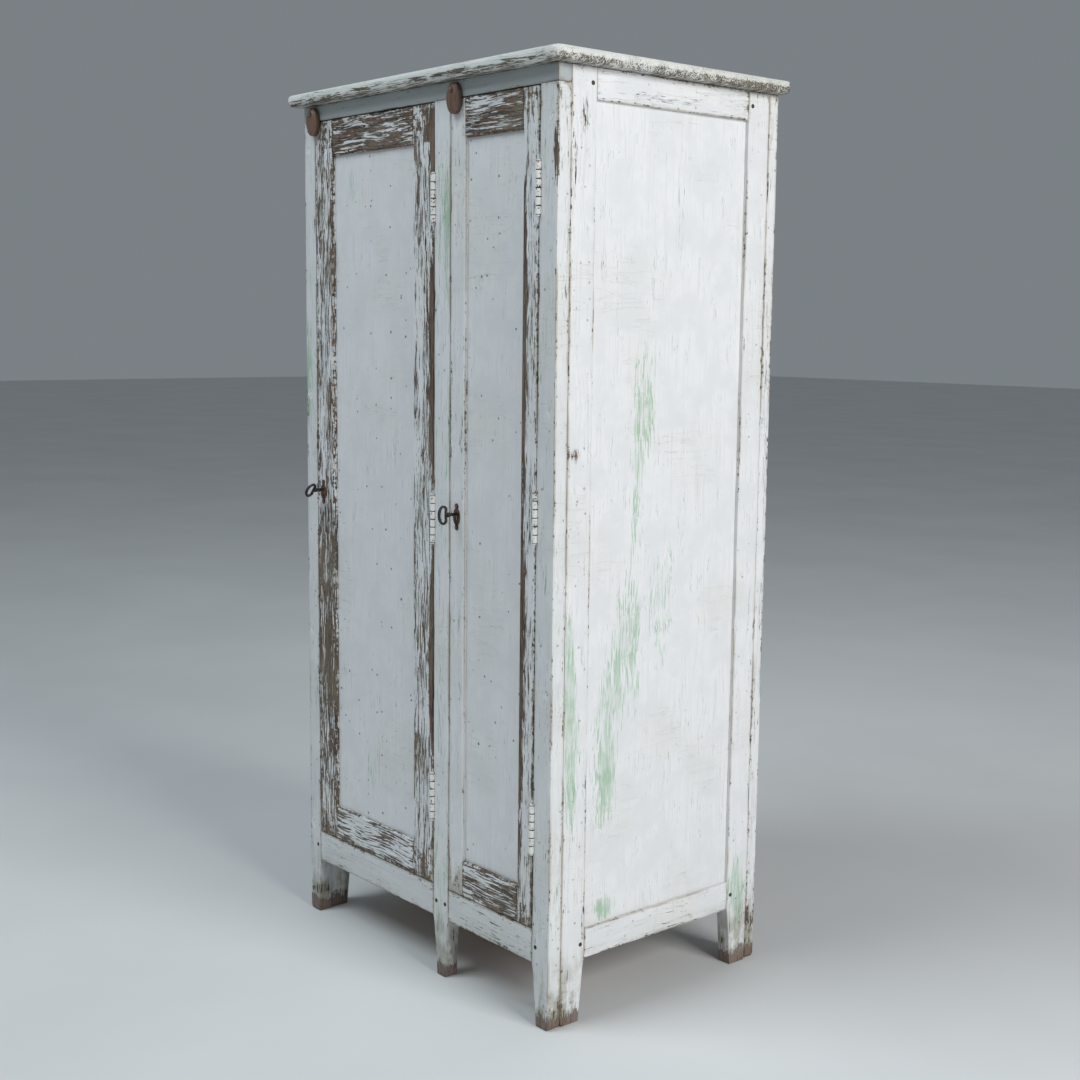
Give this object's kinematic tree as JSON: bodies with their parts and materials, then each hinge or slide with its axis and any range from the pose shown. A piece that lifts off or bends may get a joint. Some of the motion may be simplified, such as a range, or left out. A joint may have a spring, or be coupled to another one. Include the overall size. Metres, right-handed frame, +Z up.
{
  "type": "pantry cabinet",
  "caption": "Tall painted wooden cupboard with frame-and-panel sides, two unequal hinged panel doors, keyed locks, turn buttons, legs and inner shelves.",
  "frame": {"origin": "on the floor, under the middle of the bounding box", "axes": "+Z up, -Y the front with the doors, +X to the right of somebody facing the doors"},
  "size_m": [0.848, 0.593, 1.724],
  "materials": {
    "chipped_paint": "old white paint over sage green, chipped to bare wood",
    "panel_paint": "old white paint with green rubbing through",
    "weathered_top": "flaking white paint over weathered wood",
    "bare_pine": "unpainted softwood darkened with age",
    "peg_wood": "painted end grain",
    "oiled_wood": "dark oiled hardwood",
    "painted_hinge": "white paint worn at the knuckles",
    "rusty_iron": "dark iron with light rust",
    "lock_steel": "dull old steel",
    "screw_steel": "dull steel, partly painted"
  },
  "bodies": {
    "root": {"back_boards": "bare_pine", "back_bottom_rail": "chipped_paint", "back_top_rail": "chipped_paint", "centre_stile": "chipped_paint", "floor_board": "bare_pine", "frame_hinge_leaves": "painted_hinge", "frame_screws": "screw_steel", "frame_wood_screws": "screw_steel", "front_top_rail": "chipped_paint", "hinge_pins": "painted_hinge", "joint_pegs": "peg_wood", "left_back_stile": "chipped_paint", "left_bottom_rail": "chipped_paint", "left_front_post": "chipped_paint", "left_shelf_1": "bare_pine", "left_shelf_2": "bare_pine", "left_side_bottom_rail": "chipped_paint", "left_side_front_stile": "chipped_paint", "left_side_panel": "panel_paint", "left_side_rear_stile": "chipped_paint", "left_side_top_rail": "chipped_paint", "partition": "bare_pine", "right_back_stile": "chipped_paint", "right_bottom_rail": "chipped_paint", "right_front_post": "chipped_paint", "right_shelf_1": "bare_pine", "right_shelf_2": "bare_pine", "right_shelf_3": "bare_pine", "right_side_bottom_rail": "chipped_paint", "right_side_front_stile": "chipped_paint", "right_side_panel": "panel_paint", "right_side_rear_stile": "chipped_paint", "right_side_top_rail": "chipped_paint", "support_battens": "bare_pine", "top_board": "weathered_top"},
    "left_door": {"left_door_bottom_rail": "chipped_paint", "left_door_hinge_leaves": "painted_hinge", "left_door_hinge_stile": "chipped_paint", "left_door_lock_stile": "chipped_paint", "left_door_panel": "panel_paint", "left_door_screws": "screw_steel", "left_door_top_rail": "chipped_paint", "left_escutcheon": "rusty_iron", "left_lock_case": "lock_steel"},
    "left_bolt": {"left_lock_bolt": "lock_steel"},
    "left_key": {"left_key": "rusty_iron"},
    "left_button": {"left_turn_button": "oiled_wood"},
    "right_door": {"right_door_bottom_rail": "chipped_paint", "right_door_hinge_leaves": "painted_hinge", "right_door_hinge_stile": "chipped_paint", "right_door_lock_stile": "chipped_paint", "right_door_panel": "panel_paint", "right_door_screws": "screw_steel", "right_door_top_rail": "chipped_paint", "right_escutcheon": "rusty_iron", "right_lock_case": "lock_steel"},
    "right_bolt": {"right_lock_bolt": "lock_steel"},
    "right_key": {"right_key": "rusty_iron"},
    "right_button": {"right_turn_button": "oiled_wood"}
  },
  "joints": [
    {"name": "left_door_hinge", "type": "hinge", "parent": "root", "child": "left_door", "pos_m": [0.0487, -0.2555, 0.925], "axis": [0, 0, 1], "range_deg": [0, 110]},
    {"name": "left_key_turn", "type": "hinge", "parent": "left_door", "child": "left_key", "pos_m": [-0.3335, -0.2535, 0.923], "axis": [0, -1, 0], "range_deg": [0, 400]},
    {"name": "left_bolt_slide", "type": "slide", "parent": "left_door", "child": "left_bolt", "axis": [-1, 0, 0], "range_m": [0, 0.01111]},
    {"name": "left_button_turn", "type": "hinge", "parent": "root", "child": "left_button", "pos_m": [-0.353, -0.2535, 1.6815], "axis": [0, -1, 0], "range_deg": [-90, 90]},
    {"name": "right_door_hinge", "type": "hinge", "parent": "root", "child": "right_door", "pos_m": [0.348, -0.2555, 0.925], "axis": [0, 0, 1], "range_deg": [0, 165]},
    {"name": "right_key_turn", "type": "hinge", "parent": "right_door", "child": "right_key", "pos_m": [0.1212, -0.2535, 0.916], "axis": [0, -1, 0], "range_deg": [0, 360]},
    {"name": "right_bolt_slide", "type": "slide", "parent": "right_door", "child": "right_bolt", "axis": [-1, 0, 0], "range_m": [0, 0.01]},
    {"name": "right_button_turn", "type": "hinge", "parent": "root", "child": "right_button", "pos_m": [0.117, -0.2535, 1.6815], "axis": [0, -1, 0], "range_deg": [-90, 90]}
  ],
  "couplings": [
    {"joint": "left_bolt_slide", "follows": "left_key_turn", "m_per_rad": 0.0015915},
    {"joint": "right_bolt_slide", "follows": "right_key_turn", "m_per_rad": 0.0015915}
  ]
}
